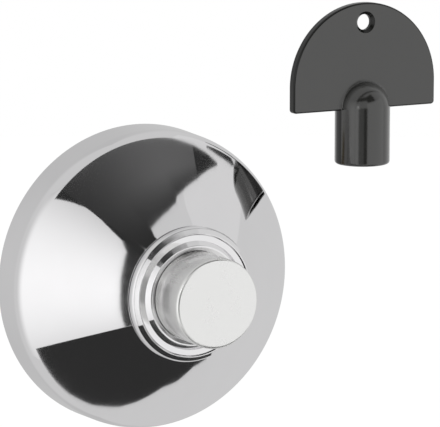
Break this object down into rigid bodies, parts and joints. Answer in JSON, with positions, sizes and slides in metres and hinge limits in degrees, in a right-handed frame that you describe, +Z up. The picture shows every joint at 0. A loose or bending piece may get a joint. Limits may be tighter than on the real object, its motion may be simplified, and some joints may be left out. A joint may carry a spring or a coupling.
{
  "type": "concealed mixer valve",
  "caption": "Concealed key operated mixer valve: bell shaped wall plate, stepped collar, pull-off cap, brass body with ceramic disc cartridge, and a loose socket key.",
  "frame": {"origin": "point where the valve's axis meets the finished wall", "axes": "-Y points out of the wall to the user, +Z is up, +X is to the user's right"},
  "size_m": [0.2375, 0.1351, 0.2054],
  "materials": {
    "plate_chrome": "bright chrome plate",
    "collar_chrome": "bright chrome plate",
    "cap_chrome": "bright chrome plate",
    "sleeve_chrome": "plain chrome plate over turned brass",
    "cast_brass": "cast and machined brass",
    "turned_brass": "turned brass",
    "stainless_steel": "stainless steel",
    "black_rubber": "matt black rubber",
    "fibre": "vulcanised fibre",
    "white_acetal": "white acetal",
    "grey_plastic": "glass filled nylon",
    "stop_plastic": "red nylon",
    "ceramic": "polished alumina ceramic",
    "key_plastic": "dark grey moulded plastic, lightly glossy"
  },
  "bodies": {
    "valve": {"escutcheon": "plate_chrome", "collar_ring": "collar_chrome", "seat_ring": "collar_chrome", "guide_sleeve": "sleeve_chrome", "valve_body": "cast_brass", "outlet_plug": "turned_brass", "cartridge_nut": "turned_brass", "hot_check_spring": "stainless_steel", "cold_check_spring": "stainless_steel", "hot_inlet_filter": "stainless_steel", "cold_inlet_filter": "stainless_steel", "bush_clip": "stainless_steel", "escutcheon_seal": "black_rubber", "collar_gasket": "black_rubber", "cap_o_ring": "black_rubber", "sleeve_gasket": "black_rubber", "cartridge_o_ring": "black_rubber", "inlet_seals": "black_rubber", "plug_washer": "fibre", "cartridge_base": "white_acetal", "guide_bush": "white_acetal", "hot_check_housing": "white_acetal", "cold_check_housing": "white_acetal", "cartridge_housing": "grey_plastic", "stop_ring": "stop_plastic", "fixed_disc": "ceramic"},
    "cap": {"cover_cap": "cap_chrome"},
    "spindle": {"moving_disc": "ceramic", "disc_carrier": "white_acetal", "spindle": "turned_brass", "spindle_o_rings": "black_rubber", "spindle_clip": "stainless_steel", "spindle_extension": "turned_brass", "extension_screw": "stainless_steel"},
    "hot_poppet": {"hot_check_poppet": "white_acetal"},
    "cold_poppet": {"cold_check_poppet": "white_acetal"},
    "key": {"key": "key_plastic"}
  },
  "joints": [
    {"name": "cap_pull", "type": "slide", "parent": "valve", "child": "cap", "axis": [0, -1, 0], "range_m": [0, 0.03]},
    {"name": "spindle_turn", "type": "hinge", "parent": "valve", "child": "spindle", "pos_m": [0, 0, 0], "axis": [0, -1, 0], "range_deg": [-45, 45]},
    {"name": "hot_check_lift", "type": "slide", "parent": "valve", "child": "hot_poppet", "axis": [1, 0, 0], "range_m": [0, 0.0025], "stiffness_N_per_m": 60, "springref_m": -0.003, "deforming": ["hot_check_spring"]},
    {"name": "cold_check_lift", "type": "slide", "parent": "valve", "child": "cold_poppet", "axis": [-1, 0, 0], "range_m": [0, 0.0025], "stiffness_N_per_m": 60, "springref_m": -0.003, "deforming": ["cold_check_spring"]},
    {"name": "key_lift", "type": "slide", "parent": "valve", "child": "key", "axis": [0, -1, 0], "range_m": [0, 0.06]}
  ]
}
